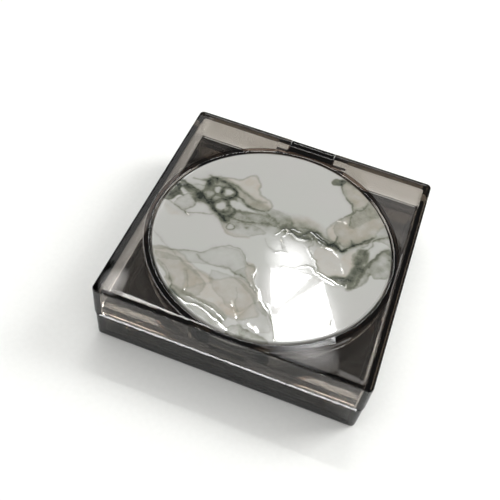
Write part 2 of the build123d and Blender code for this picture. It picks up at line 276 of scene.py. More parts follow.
def seal_rubber():
    """Milky soft rubber with a satin skin."""
    mat, nt, out = new_material("seal_rubber")
    place = coords(nt)
    haze = noise(nt, place, 400, 4)
    colour = patchy(nt, haze, (0.6, 0.6, 0.58), (0.72, 0.72, 0.7))
    principled(nt, out, Base_Color=colour, Roughness=map_range(nt, haze, 0.3, 0.7, 0.4, 0.55),
               Subsurface_Weight=0.3, Subsurface_Scale=1.5 * MM, Normal=bump(nt, haze, 0.02 * MM, 0.5))
    return mat


def adhesive_film():
    """Pale adhesive film with the tiny bubbles that stay under it."""
    mat, nt, out = new_material("clear_film")
    place = coords(nt)
    cells = node(nt, "ShaderNodeTexVoronoi", {"Vector": place, "Scale": 450.0}).outputs["Distance"]
    bubbles = map_range(nt, cells, 0.12, 0.3, 1, 0)
    colour = mix(nt, bubbles, (0.5, 0.5, 0.48), (0.68, 0.68, 0.66))
    principled(nt, out, Base_Color=colour, Roughness=map_range(nt, bubbles, 0, 1, 0.45, 0.25),
               Normal=bump(nt, bubbles, 0.02 * MM, 0.6))
    return mat


def wet_sponge():
    """Open-cell foam soaked in a pale cream, glossy in its wet hollows, with painted shade darkening its
    pores.
    """
    mat, nt, out = new_material("sponge")
    cells = node(nt, "ShaderNodeTexVoronoi", {"Vector": coords(nt), "Scale": 1500.0}).outputs["Distance"]
    pore = map_range(nt, cells, 0.1, 0.6, 0, 1)
    # painted shade: the pores darken towards the first colour
    colour = mix(nt, pore, (0.5, 0.4, 0.3), (0.72, 0.62, 0.5))
    principled(nt, out, Base_Color=colour, Roughness=map_range(nt, pore, 0, 1, 0.25, 0.6),
               Subsurface_Weight=0.2, Subsurface_Scale=2 * MM, Normal=bump(nt, pore, 0.15 * MM, 0.8))
    return mat


def weave(nt, threads):
    """Height and cross-over of a plain weave, threads per metre, from 0 to 1."""
    place = node(nt, "ShaderNodeSeparateXYZ", {"Vector": coords(nt)}).outputs
    wave = [maths(nt, "SINE", maths(nt, "MULTIPLY", place[axis], threads * math.pi)) for axis in (0, 1)]
    return map_range(nt, maths(nt, "MULTIPLY", wave[0], wave[1]), -1, 1, 0, 1)


def membrane_cloth():
    """A fine woven membrane, a little damp, with painted shade darkening its meshes."""
    mat, nt, out = new_material("membrane")
    cross = weave(nt, 3200)
    damp = noise(nt, coords(nt), 90, 4)
    thread = patchy(nt, damp, (0.76, 0.72, 0.64), (0.66, 0.6, 0.5), 0.4, 0.6)
    # painted shade: the meshes between the threads darken towards this brown
    colour = mix(nt, map_range(nt, cross, 0.0, 0.35, 0.55, 0), thread, (0.35, 0.29, 0.22))
    principled(nt, out, Base_Color=colour, Roughness=map_range(nt, damp, 0.35, 0.65, 0.35, 0.6),
               Sheen_Weight=0.15, Normal=bump(nt, cross, 0.06 * MM, 0.8))
    return mat


def foam_skin():
    """The puff's working face: soft closed-cell foam with a peach-skin touch."""
    mat, nt, out = new_material("puff_foam")
    place = coords(nt)
    pores = noise(nt, place, 3500, 4, 0.7)
    blush = noise(nt, place, 70, 3)
    colour = patchy(nt, blush, (0.74, 0.6, 0.5), (0.68, 0.53, 0.43))
    principled(nt, out, Base_Color=colour, Roughness=0.85, Sheen_Weight=0.4, Sheen_Roughness=0.5,
               Subsurface_Weight=0.15, Subsurface_Scale=1.5 * MM, Normal=bump(nt, pores, 0.06 * MM, 0.7))
    return mat


def knit(name, dark, light, threads, stretch, sheen):
    """A close knitted or woven cloth between two tones, with painted shade in the weave's hollows; stretch
    draws its threads out along X.
    """
    mat, nt, out = new_material(name)
    cross = weave(nt, threads)
    lines = noise(nt, coords(nt, (stretch, 1, 1)), 5000, 3, 0.6)
    # painted shade: the weave's hollows take the dark tone; the thread streaks are the cloth's own
    tone = maths(nt, "MULTIPLY", cross, map_range(nt, lines, 0.3, 0.7, 0.6, 1.3))
    rough = map_range(nt, lines, 0.3, 0.7, 0.5, 0.8)
    principled(nt, out, Base_Color=mix(nt, tone, dark, light), Roughness=rough,
               Sheen_Weight=sheen, Sheen_Roughness=0.35, Normal=bump(nt, cross, 0.05 * MM, 0.9))
    return mat


def dress(mat, *nodes):
    """Give CAD nodes their material."""
    for name in nodes:
        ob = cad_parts[name]
        ob.data.materials.clear()
        ob.data.materials.append(mat)


# the lid's plastic carries the painted shade
dress(smoke_plastic("smoke_plastic", LID_DENSITY, with_painted_shade=True), "lid_shell")
# denser copies of the same plastic, darker as painted shade
dress(smoke_plastic("smoke_plastic_shaded", BASE_SHADE_DENSITY), "base_shell", "inner_frame")
dress(smoke_plastic("smoke_plastic_block", BLOCK_SHADE_DENSITY), "hinge_block")
dress(adhesive_film(), "disc_tape", "mirror_tape")
dress(mirror_glass(), "mirror")
dress(steel(), "hinge_pin", "inner_lid_pin")
dress(refill_plastic(), "refill_cup", "inner_lid", "membrane_ring")
dress(seal_rubber(), "inner_lid_seal")

# -------- mesh helpers


def mesh_object(name, points, faces, mat, smooth=True):
    """A mesh object in the scene from points in metres and faces."""
    mesh = bpy.data.meshes.new(name)
    mesh.from_pydata([tuple(p) for p in points], [], faces, shade_flat=not smooth)
    mesh.update()
    mesh.materials.append(mat)
    ob = bpy.data.objects.new(name, mesh)
    bpy.context.scene.collection.objects.link(ob)
    return ob


def fractal(x, y, size, seed, octaves=4):
    """Smooth fractal noise from -1 to 1; size is its widest cell, in the units of x and y."""
    total, weight, share = np.zeros_like(x), 0.0, 1.0
    for octave in range(octaves):
        grid = np.random.default_rng(seed + octave).uniform(-1, 1, (64, 64))
        u, v = x / size + 31.7, y / size + 17.3
        i, j = np.floor(u).astype(int), np.floor(v).astype(int)
        u, v = u - i, v - j
        u, v = u * u * (3 - 2 * u), v * v * (3 - 2 * v)
        near = grid[i % 64, j % 64] * (1 - u) + grid[(i + 1) % 64, j % 64] * u
        far = grid[i % 64, (j + 1) % 64] * (1 - u) + grid[(i + 1) % 64, (j + 1) % 64] * u
        total += share * (near * (1 - v) + far * v)
        weight += share
        size, share = size / 2, share / 2
    return total / weight


def smooth_line(points, closed=False, steps=4):
    """A smooth line through the points, a few steps to each span."""
    p = np.array(points, float)
    p = np.vstack([p[-1:], p, p[:2]]) if closed else np.vstack([2 * p[0] - p[1], p, 2 * p[-1] - p[-2]])
    t = np.linspace(0, 1, steps, endpoint=False)[:, None]
    spans = []
    for a, b, c, d in zip(p, p[1:], p[2:], p[3:]):
        bend = (2 * a - 5 * b + 4 * c - d) * t**2 + (3 * b - a - 3 * c + d) * t**3
        spans.append(b + 0.5 * ((c - a) * t + bend))
    return np.vstack([*spans, p[-2:-1]])


REACH = 5.0               # distances past this many millimetres don't matter


def line_distance(x, y, line):
    """Distance to a line of points, large past REACH, and how far along it that is, 0 to 1."""
    best, along = np.full(x.shape, 4 * REACH), np.zeros(x.shape)
    low, high = line.min(0) - REACH, line.max(0) + REACH
    near = (x > low[0]) & (x < high[0]) & (y > low[1]) & (y < high[1])
    px, py, d, t = x[near], y[near], best[near], along[near]
    for k, ((ax, ay), (bx, by)) in enumerate(zip(line, line[1:])):
        dx, dy = bx - ax, by - ay
        s = np.clip(((px - ax) * dx + (py - ay) * dy) / max(dx * dx + dy * dy, 1e-9), 0, 1)
        here = np.hypot(px - ax - s * dx, py - ay - s * dy)
        closer = here < d
        d[closer] = here[closer]
        t[closer] = ((k + s) / (len(line) - 1))[closer]
    best[near], along[near] = d, t
    return best, along


def depth_in(x, y, outline):
    """How deep a point lies inside a closed outline, below 0 outside, true to within REACH."""
    line = smooth_line(outline, closed=True)
    odd = np.zeros(x.shape, bool)
    for (ax, ay), (bx, by) in zip(line, line[1:]):
        if ay != by:
            odd ^= ((ay > y) != (by > y)) & (x < ax + (y - ay) * (bx - ax) / (by - ay))
    d, _ = line_distance(x, y, line)
    return np.where(odd, d, -d)


def swell(depth, soft):
    """0 outside, rising smoothly to 1 inside over an edge this soft."""
    t = np.clip(depth / soft * 0.5 + 0.5, 0, 1)
    return t * t * (3 - 2 * t)


def grid_quads(index):
    """The quads between a grid's point numbers."""
    corners = [index[:-1, :-1], index[1:, :-1], index[1:, 1:], index[:-1, 1:]]
    return np.stack(corners, -1).reshape(-1, 4).tolist()


def grid_rim(index):
    """A grid's point numbers once round its edge."""
    return [int(i) for i in [*index[:-1, 0], *index[-1, :-1], *index[:0:-1, -1], *index[0, :0:-1]]]


def round_grid(cells):
    """Points spread evenly over a disc of radius 1 as a square grid, its quads, and its edge."""
    axis = np.linspace(-1, 1, cells + 1)
    u, v = np.meshgrid(axis, axis, indexing="ij")
    wide = np.abs(u) >= np.abs(v)
    r = np.where(wide, u, v)
    ratio = np.where(wide, v, u) / np.where(r == 0, 1, r)
    turn = math.pi / 4 * ratio
    x = np.where(wide, r * np.cos(turn), r * np.sin(turn))
    y = np.where(wide, r * np.sin(turn), r * np.cos(turn))
    index = np.arange((cells + 1) ** 2).reshape(cells + 1, -1)
    return x.ravel(), y.ravel(), grid_quads(index), grid_rim(index)


def round_piece(name, mat, cells, radius, top, side, under=None):
    """A round piece in millimetres about the round pieces' axis.

    top(x, y) is the height of its upper face, and side is a list of (radius, height) rings below
    its rim. under(x, y) is the height of a lower face; without it, that face is flat.
    """
    x, y, faces, rim = round_grid(cells)
    x, y = x * radius, y * radius
    points = [np.stack([x, y + ROUND_Y, top(x, y)], -1)]
    angle = np.arctan2(y[rim], x[rim])
    count = len(x)
    last = rim
    for r, z in side:
        ring = list(range(count, count + len(rim)))
        points.append(np.stack([r * np.cos(angle), r * np.sin(angle) + ROUND_Y, np.full(len(rim), z)], -1))
        faces += [(last[k], ring[k], ring[k - 1], last[k - 1]) for k in range(len(rim))]
        last, count = ring, count + len(rim)
    if under:
        r = side[-1][0]
        bx, by, more, low_rim = round_grid(cells)
        bx, by = bx * r, by * r
        points.append(np.stack([bx, by + ROUND_Y, under(bx, by)], -1))
        faces += [tuple(count + i for i in reversed(f)) for f in more]
        low_rim = [count + i for i in low_rim]
        faces += [(last[k], low_rim[k], low_rim[k - 1], last[k - 1]) for k in range(len(rim))]
    else:
        faces.append(tuple(reversed(last)))
    return mesh_object(name, np.vstack(points) * MM, faces, mat)


def place_of(node_name):
    """A round CAD node's radius, lowest and highest height, in millimetres."""
    low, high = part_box(node_name)
    return (high.x - low.x) / 2 / MM, low.z / MM, high.z / MM

# -------- marbled disc

# The pattern, in millimetres about the case's middle, +y towards the hinge.

# (points, width, strength at its start, strength at its end)
VEINS = [
    # left
    ([(-34.5, 6.2), (-32.3, 7.1), (-30, 6.9), (-27.5, 6.2), (-25.2, 5.2), (-24, 4.2), (-21.5, 2.7),
      (-19, 0.7), (-17, -0.5), (-15, -1.7)], 0.55, 0.75, 0.7),
    ([(-30.5, 6.3), (-27, 4.8), (-25, 3.6), (-22.5, 3.2)], 1.5, 0.45, 0.45),
    ([(-26.2, 4.6), (-25.2, 3.2), (-24.4, 2.2)], 1.3, 0.5, 0.4),
    ([(-25.6, 4.5), (-25, 7), (-24.7, 9.3), (-24, 12), (-22.8, 12.6)], 0.75, 0.5, 0.55),
    ([(-29.3, 10), (-27, 10.2), (-25.7, 10.6), (-24.6, 9.7)], 0.55, 0.3, 0.45),
    ([(-25.4, 12.7), (-24, 12.6), (-22.7, 12.9), (-22.6, 11.5)], 0.6, 0.35, 0.45),
    ([(-28, 7.6), (-26.2, 8), (-25, 9)], 0.45, 0.2, 0.4),
    ([(-21.5, 12.5), (-19.5, 12.1), (-17.5, 11.3), (-15.9, 10.2), (-15.3, 8.5), (-15.8, 7)],
      0.45, 0.5, 0.6),
    ([(-20.4, 8.6), (-19.8, 7.2), (-19, 6.2), (-17.8, 5.6), (-16.5, 6.3)], 0.4, 0.7, 0.6),
    ([(-15.5, 8), (-13.5, 8.2), (-12.2, 6.7), (-9.5, 5.8), (-6, 6.3), (-4, 5.2)], 0.35, 0.54, 0.29),
    ([(-21.5, 6.5), (-21.8, 4.5), (-20.7, 2.8), (-19.5, 1.5)], 0.5, 0.35, 0.5),
    ([(-19.5, 2), (-17.2, -0.4), (-14, 0.2), (-11, -0.2), (-8, 0.6), (-4, 1.8), (-1, 2)],
      0.32, 0.6, 0.15),
    ([(-14.5, 4.5), (-13.3, 2.4), (-14.2, 0.8), (-16, 0)], 0.4, 0.55, 0.5),
    ([(-16.6, -0.8), (-15, -2.2), (-13.8, -1.2)], 0.6, 0.5, 0.4),
    ([(-13, 3.2), (-9, 4.1), (-5, 4.4), (-2, 5)], 0.7, 0.3, 0.15),
    ([(-20, 12.6), (-16.5, 12.3), (-13.2, 10.9), (-11, 9.6), (-8, 9.3), (-6.3, 9.9)], 0.55, 0.35, 0.2),
    ([(-34, -1.6), (-31.5, -2.2), (-29.5, -2.8), (-28.3, -3.5), (-27, -3.1), (-26.2, -4.1),
      (-25.5, -4)], 0.25, 0.25, 0.4),
    ([(-26.6, -3.6), (-25.4, -3.2), (-24, -2.6), (-21.5, -1.7), (-18.5, -0.8), (-16.8, -0.8)],
      0.25, 0.32, 0.22),
    ([(-31, -0.5), (-30.3, 1.5), (-28.6, 3.4)], 0.28, 0.25, 0.22),
    ([(-25.2, 1.5), (-25.9, -0.8), (-27.2, -2.6)], 0.28, 0.22, 0.25),
    # right
    ([(1.6, 2.3), (3, 2.8), (4.4, 3.5), (6.5, 3.1)], 0.4, 0.4, 0.35),
    ([(3, 1.2), (4.6, 1.7), (6, 1), (8, 0.9), (9.5, 1.6)], 0.5, 0.45, 0.4),
    ([(2, 3), (4, 2.2), (5.6, 1.5), (7.2, 1.3), (8, 2.5), (8.4, 3.8), (9.2, 4.5), (11, 4), (13, 3),
      (15, 2.1), (16.5, 2.6)], 0.5, 0.5, 0.8),
    ([(12.5, 2.2), (14.5, 1.6), (16.3, 2.4), (18.4, 2.1), (19.6, 1.3), (20.6, 2.3), (21.6, 3.9),
      (22.6, 4.6)], 0.5, 0.6, 0.95),
    ([(22.2, 4.3), (23.6, 6), (25, 8), (26.2, 9.6)], 0.4, 0.8, 0.5),
    ([(9, 4.6), (11.5, 4.8), (13.5, 3.8), (15.5, 3.4)], 0.5, 0.4, 0.4),
    ([(16.3, 2.6), (16.9, 4.2), (17.3, 5.8)], 0.42, 0.8, 0.35),
    ([(21, 3.1), (21.9, 4.7), (21.5, 6.2)], 0.35, 0.6, 0.3),
    ([(24.6, 5), (25.9, 6.6), (25.7, 8.6), (26.6, 10)], 0.4, 0.3, 0.4),
    ([(26.2, 2.5), (26.4, 4.5), (27.2, 6.2), (27.2, 8.4), (28.1, 10.1), (31, 12.2)], 0.45, 0.45, 0.35),
    ([(28.4, -1.2), (28.6, 1.2), (29.8, 3.4), (30.3, 5.6), (32, 7.6), (33.6, 7.8)], 0.35, 0.45, 0.35),
    ([(32.6, 7.2), (33.2, 5.9), (33.9, 5.2)], 0.45, 0.4, 0.4),
    ([(33.2, 4.2), (34.1, 3.4)], 0.45, 0.4, 0.4),
    ([(18.8, -9.2), (20.5, -8.8), (22.3, -8), (24.2, -7.2)], 0.9, 0.45, 0.5),
    ([(10.5, 3), (11.2, 0.5), (10.3, -1.2), (12, -4), (13.5, -5), (14.5, -7.4), (16.5, -8.8), (19, -9.3),
      (21, -10.1), (23, -10.2)], 0.25, 0.32, 0.36),
    ([(0, -0.6), (1.1, 1.7), (2.2, 2.4), (3, 0.5), (2.3, -1), (2.8, -2.5), (4.5, -5)], 0.25, 0.22, 0.09),
    ([(-2, -3.4), (-0.5, -5.5), (2, -6.2), (4.6, -5.2)], 0.25, 0.11, 0.09),
    ([(5.5, -10.6), (9, -10), (11, -8.3), (13, -7.6), (15, -8.5)], 0.28, 0.29, 0.25),
    ([(14.6, -8.6), (17, -9.8), (19, -10.2), (20.5, -11)], 0.25, 0.25, 0.18),
    # top right
    ([(12.2, 28.4), (13.4, 28.9), (15.4, 28.5), (17.4, 27.7)], 0.7, 0.4, 0.2),
    ([(12.9, 26.9), (13.4, 25.6), (14.6, 23.4), (16.5, 21.4), (18.2, 19.6), (19, 17.6)],
      0.3, 0.45, 0.3),
    ([(22.4, 22), (21.6, 19.6), (19.6, 17.6), (19, 14.4), (18.9, 12)], 0.3, 0.35, 0.3),
    ([(19, 17.6), (18.4, 15.8), (16, 13.5), (14.8, 11.4), (14.1, 9)], 0.31, 0.22, 0.11),
    # lower left
    ([(-31.5, -20), (-29, -19.6), (-26, -18.4), (-23.5, -17.8), (-19, -16.2), (-16.5, -15.2),
      (-14.5, -13), (-12, -11), (-10, -10.1), (-6.5, -10.8), (-5, -12.4), (-4, -14)], 0.25, 0.18, 0.29),
    ([(-4, -14), (-1.6, -14.2), (-0.8, -15.6), (-0.9, -17.4), (0.4, -19.6), (2.4, -21.6)],
      0.28, 0.22, 0.22),
    ([(-17.5, -16.7), (-14.5, -18.2), (-11, -18), (-9.3, -17.4), (-6, -18.2), (-3, -18.6), (-1, -19.8),
      (1, -21.6), (2.2, -23.2), (3.5, -24.6), (6.5, -27), (9, -29.5), (10, -32)], 0.28, 0.22, 0.29),
    ([(5.5, -24.8), (7, -26.5), (8.6, -28.8), (9.6, -31.4), (11, -34.6)], 0.3, 0.25, 0.35),
    ([(-27, -22.5), (-23.9, -24.4), (-21.5, -27), (-20.2, -28.7), (-19.6, -30.4), (-18, -31.2)],
      0.28, 0.14, 0.58),
    ([(-20, -30.3), (-17.8, -31.2), (-15.6, -32.2), (-14.4, -33), (-11, -32.4), (-8, -33.2), (-4, -34.8),
      (-1.5, -36)], 0.4, 0.5, 0.22),
    ([(-18.5, -23), (-17, -25), (-15.8, -27.5), (-16.4, -29.4)], 0.25, 0.18, 0.14),
    ([(-4, -23), (-2.6, -25.5), (-2.4, -28), (-0.6, -29.6)], 0.25, 0.16, 0.14),
    ([(-15, -30.3), (-11, -30.6), (-7, -31.8), (-3.5, -33.5)], 0.35, 0.2, 0.2),
    ([(-33, -13), (-29, -16), (-24.5, -18.6), (-19.5, -21.2), (-14, -23)], 0.3, 0.12, 0.12),
]

# (outline, fill, rim, how far the rim fades in, softness of the edge)
WASHES = [
    ([(-24, 13.2), (-19.6, 13.6), (-14, 12), (-10, 9.4), (-4, 8.2), (2, 7), (3, 3.4), (-5, 0.8),
      (-11, -1), (-16, -2.2), (-21.6, 1.6), (-25.4, 5.6)], 0.17, 0.06, 1.5, 0.9),
    ([(12.4, 28.6), (16, 28.4), (22, 25.7), (27, 20.8), (31, 14.4), (33.2, 9), (29, 9.6), (24.4, 6.4),
      (19.4, 3.2), (17, 6), (15, 10), (16.6, 14), (19, 17.6), (17, 21), (13.6, 25.6)],
      0.13, 0.12, 1.2, 0.5),
    ([(-31, -19), (-24, -17.6), (-17, -15.6), (-12, -11.2), (-7, -11.2), (-4.2, -14.6), (-3, -18.6),
      (-9, -17.8), (-14, -18.5), (-20, -20.2), (-27, -21.6)], 0.07, 0.07, 1, 0.5),
    ([(-28.6, -20.4), (-22, -20), (-16, -22), (-12, -25), (-13, -29.6), (-19, -29.4), (-24.4, -25.2)],
      0.11, 0.09, 1, 0.5),
    ([(-12, -20.2), (-5, -19.8), (0, -22.2), (2, -26), (-1, -30.2), (-6, -28.2), (-10, -25)],
      0.07, 0.08, 1, 0.5),
    ([(-20, -29), (-13, -29.8), (-7, -30.6), (-3, -33), (-5, -35.8), (-11, -34.6), (-17, -32)],
      0.16, 0.1, 1, 0.5),
    ([(3, -25), (7, -28.6), (9, -33), (4, -33.6), (0, -32.6), (1.4, -28.6)], 0.07, 0.08, 1, 0.5),
    ([(-6, -19), (-3.4, -14.2), (-1.2, -14.2), (0.2, -18.8), (4.6, -24.6), (7, -28.4), (4, -27),
      (0, -23.2)], 0.08, 0.08, 0.8, 0.4),
    ([(-34.9, -1.4), (-34.6, 3.6), (-32.6, 5.6), (-31.2, 5.3), (-31, 3.9), (-29.4, 2.7), (-31.2, 1.9),
      (-31.9, -0.4), (-33.2, -1.6)], 0.62, 0.1, 1, 0.4),
    ([(-32, 5.8), (-29, 6.3), (-25, 5.6), (-22.6, 4), (-23.6, 2.3), (-26, 1.8), (-28.2, 3.4), (-29.8, 5)],
      0.42, 0.05, 0.8, 0.5),
    ([(-22.4, 13), (-18, 11.6), (-15.4, 8.6), (-14, 4), (-13.4, 0.6), (-16.6, -1.3), (-20, 1.4),
      (-23.8, 4.6), (-24.4, 9)], 0.19, 0.1, 0.9, 0.6),
    ([(-14, 6), (-6, 6.6), (0, 7), (5, 8.4), (10, 7.6), (15, 4.4), (12, 1.4), (4, 0.6), (-3, -0.4),
      (-9, -1), (-14, 0.6)], 0.22, 0, 1, 2.2),
    ([(-1, 3.4), (4, 3.8), (9, 5.2), (13, 4.2), (18, 3.4), (19.6, 1), (15, 1), (9, 0.6), (4, 0.6)],
      0.34, 0, 1, 1.3),
    ([(-16.6, -1), (-14.8, -4.2), (-12, -6.1), (-8.8, -5.6), (-6.2, -4), (-3, -1.6), (-6, -0.4),
      (-12, -0.4)], 0.1, 0.1, 0.8, 0.8),
    ([(-31, -0.5), (-30, 1.6), (-28.4, 3.6), (-25.2, 1.6), (-26, -1), (-28.3, -3.3), (-30.6, -2.4)],
      0.14, 0.06, 0.7, 0.3),
    ([(-34.6, -2.2), (-29, -3.2), (-25.4, -4.4), (-28, -4.8), (-32.6, -4.2)], 0.06, 0, 0.8, 0.8),
    ([(24.2, 4), (27.2, 4.4), (28, 0), (27.5, -5), (26.6, -9.2), (24.8, -11.2), (22, -9.6), (19, -8.9),
      (20, -7.6), (22.8, -7), (23.8, -3), (23.3, 0.6)], 0.46, 0.05, 1.2, 0.7),
    ([(25, 1), (26.4, 0), (26.3, -4), (25.6, -8), (24.4, -8), (24.4, -3)], 0.35, 0, 1, 0.8),
    ([(27.4, -1), (29, 2), (30, 5), (32.3, 7.4), (34.8, 5), (34.8, -1.6), (33.2, -3.1), (31, -3.8),
      (29.5, -3.5), (29, -6), (27.8, -8.7), (26.2, -9.6), (26.8, -4)], 0.27, 0.12, 0.6, 0.35),
    ([(19.3, 17.6), (21.6, 20.6), (23.6, 24.8), (28, 20), (24.6, 17.2), (22.4, 14), (20.6, 11.6),
      (18.8, 12)], 0.24, 0.06, 1, 0.8),
    ([(13, 26.4), (10.4, 25.6), (10, 27.4), (11, 28.6), (13.4, 28.9)], 0.42, 0.1, 0.6, 0.4),
    ([(-1.6, -36.8), (0.8, -33.6), (3, -34.3), (5.8, -34.4), (9.6, -35.8), (6, -37.2), (2, -37.4)],
      0.34, 0.1, 0.6, 0.3),
    ([(2, 5), (6, 6.8), (10, 6), (13, 4.4), (9, 4.2), (5, 4)], 0.14, 0, 1, 1),
]

# round cells: (x, y, radius, line width, strength)
CELLS = [
    (-17.6, 8.8, 2.3, 0.36, 0.56),
    (-18, 3.1, 2.4, 0.38, 0.52),
    (-21.2, 8.6, 1.7, 0.35, 0.35),
    (-20.4, 4.9, 1.4, 0.3, 0.35),
    (-15.6, 2.6, 1.7, 0.3, 0.4),
    (-12.5, -3.4, 1.2, 0.22, 0.35),
    (23.2, -9.9, 0.6, 0.16, 0.35),
]

# soft spots: (x, y, radius, strength)
SPOTS = [
    (16.6, 2.9, 0.9, 0.7), (4.6, 2.5, 0.9, 0.3), (8.2, 2, 0.9, 0.35), (20.6, 2.2, 0.6, 0.5),
    (-24.2, 10.6, 0.9, 0.3), (-11, -2.3, 0.8, 0.35), (-8.2, -1.6, 0.7, 0.3), (-5.6, -1.3, 0.7, 0.2),
    (-16.5, -0.4, 0.9, 0.3), (-19.8, 8, 0.5, 0.4), (-16.9, 6.2, 0.8, 0.35), (11.6, 27.1, 1.2, 0.25),
    (25.5, -3, 1.4, 0.3), (25, -7, 1.3, 0.25), (-24.6, 4.2, 1, 0.3),
]

# warm tints: (outline, strength, rim, softness)
TINTS = [
    ([(-21.5, 12.8), (-19, 14.8), (-16, 15.5), (-14.5, 17.2), (-13, 18.8), (-10.3, 17), (-9.6, 14),
      (-8.9, 11.8), (-7, 11.2), (-5.4, 11.2), (-4.2, 9), (-5, 6.6), (-9, 6), (-12, 7), (-15, 9),
      (-17, 11.6)], 0.42, 0.25, 0.35),
    ([(14, 5), (13.8, 9), (14.8, 11.6), (16, 13.6), (18.4, 15.8), (19, 17.6), (18.2, 19.6), (16.4, 21.5),
      (14.5, 23.5), (13.2, 26), (13, 28.6), (16, 28.9), (22, 25.6), (27.6, 20), (29.4, 16.8),
      (27.4, 13.4), (26.6, 9.6), (24.4, 6), (21, 3.2), (17, 4)], 0.5, 0.18, 0.5),
    ([(12.4, -1), (14, 0.4), (16.5, 0.7), (19, -0.4), (20.4, -3), (22.2, -6), (20.6, -8.8), (16.6, -8.8),
      (14.6, -7.6), (13, -4.6)], 0.28, 0.05, 0.4),
    ([(20, -0.6), (23.4, 3), (24.4, 0), (24, -4), (23.6, -8), (21.4, -8.6), (21.6, -5)], 0.4, 0, 0.6),
    ([(-31, -19.6), (-24, -18), (-19, -19.4), (-14, -22), (-10, -22.6), (-6, -19.6), (-1.4, -19.8),
      (1.6, -22.8), (2.6, -26), (4.6, -29), (0, -32.6), (-6, -31.8), (-14, -30.6), (-20, -30),
      (-23.8, -25.8), (-28.6, -22)], 0.36, 0.14, 0.6),
    ([(-19, -22.6), (-14, -21.6), (-10.6, -23), (-13, -25.6), (-16.4, -28.6), (-17.4, -25.4)],
      0.55, 0.12, 0.5),
    ([(-6, -30), (-4, -28.4), (-1.6, -28.8), (0, -31.2), (-2.6, -32)], 0.6, 0.1, 0.5),
    ([(-4.4, -13.8), (-1.2, -14), (0.6, -19), (3.2, -23.6), (4.4, -26.4), (2.6, -25), (0, -21.8),
      (-2.4, -18.6)], 0.4, 0, 0.4),
    ([(-16, -1.8), (-13.6, -5.6), (-10, -6.4), (-6.6, -5), (-9.6, -4.6), (-12.4, -5)], 0.35, 0, 0.5),
    ([(1.5, 6), (6, 9.4), (11, 8), (13, 5.4), (8, 5), (4, 4)], 0.35, 0, 1.6),
    ([(-34.2, -3), (-30, -4.6), (-26, -5), (-31, -6.4)], 0.25, 0, 0.8),
]

# places where the ink is pushed aside: (outline, strength, softness)
CLEARS = [
    ([(-16.2, 5.4), (-13.6, 6.4), (-10.6, 5.4), (-7.6, 4.8), (-10.8, 3.9), (-14, 3.9)], 0.85, 0.4),
    ([(-19.2, 3.8), (-17.8, 4.6), (-16.8, 3.4), (-17.6, 1.8), (-19, 2)], 0.8, 0.4),
    ([(-18.9, 9.2), (-17.6, 10.1), (-16.4, 9.2), (-17, 7.9), (-18.4, 7.9)], 0.8, 0.4),
    ([(-22.4, 9), (-21, 9.8), (-20.4, 8.4), (-21.4, 7.2)], 0.6, 0.3),
    ([(11, 1.6), (12, 0.9), (11.6, -1.6), (10.6, -1.2)], 0.5, 0.3),
]

# shiny cream flecks, one of them a painted highlight: (points, width)
FLECKS_AND_GLINT = [
    ([(-1.7, -14.5), (-1.1, -15.4), (-1.2, -16.8)], 0.3),
    ([(2, -21.9), (2.3, -23.4), (3, -24.6)], 0.34),
    ([(-3.1, -27.5), (-2.6, -28.8), (-1.6, -30.2)], 0.3),
    ([(-1, -30.8), (-0.4, -31.9)], 0.26),
    ([(15.4, 12.4), (16.2, 12.6)], 0.35),
    ([(17.2, 12.6), (17.7, 12.1)], 0.35),
    # painted highlight: a white glint drawn as a cream fleck
    ([(13.9, 0.6), (15.4, 1), (16.9, 0.9), (18.6, -0.1)], 0.28),
    ([(19, -0.4), (19.9, -1.8), (21.2, -4.2), (22.2, -6.2)], 0.18),
    ([(10.7, -1.4), (11.4, -1.7)], 0.32),
    ([(2.2, -2.2), (2.8, -2.6)], 0.26),
    ([(2.2, 2.5), (2.9, 2.2), (3, 1.3)], 0.22),
    ([(-26.3, -3.6), (-25.6, -4)], 0.24),
    ([(22.6, -9.2), (23.6, -9.4), (23.9, -10.4)], 0.24),
    ([(-23.6, -24.6), (-22.6, -25.2)], 0.22),
    ([(-16, -28.6), (-15, -28.9)], 0.24),
    ([(3.4, -32.2), (4.6, -33), (6.4, -33.6)], 0.24),
    ([(21.9, -21.8), (23.2, -22.4), (23.6, -24.2)], 0.16),
    ([(10.9, 2.6), (11.3, 2.1)], 0.26),
]

HALO = 0.24               # the stain beside a vein, as a share of its ink


def bell(distance, width):
    """1 at distance 0, nearly 0 past twice the width."""
    return np.exp(-(distance / width) ** 2)


def cover(ink, amount):
    """Ink after one more layer of this amount."""
    return 1 - (1 - ink) * (1 - np.clip(amount, 0, 1))


def wander(x, y, seed):
    """How far the drawn lines stray, in millimetres."""
    return 0.6 * fractal(x, y, 4.5, seed) + 0.42 * fractal(x, y, 1.6, seed + 6, 3)


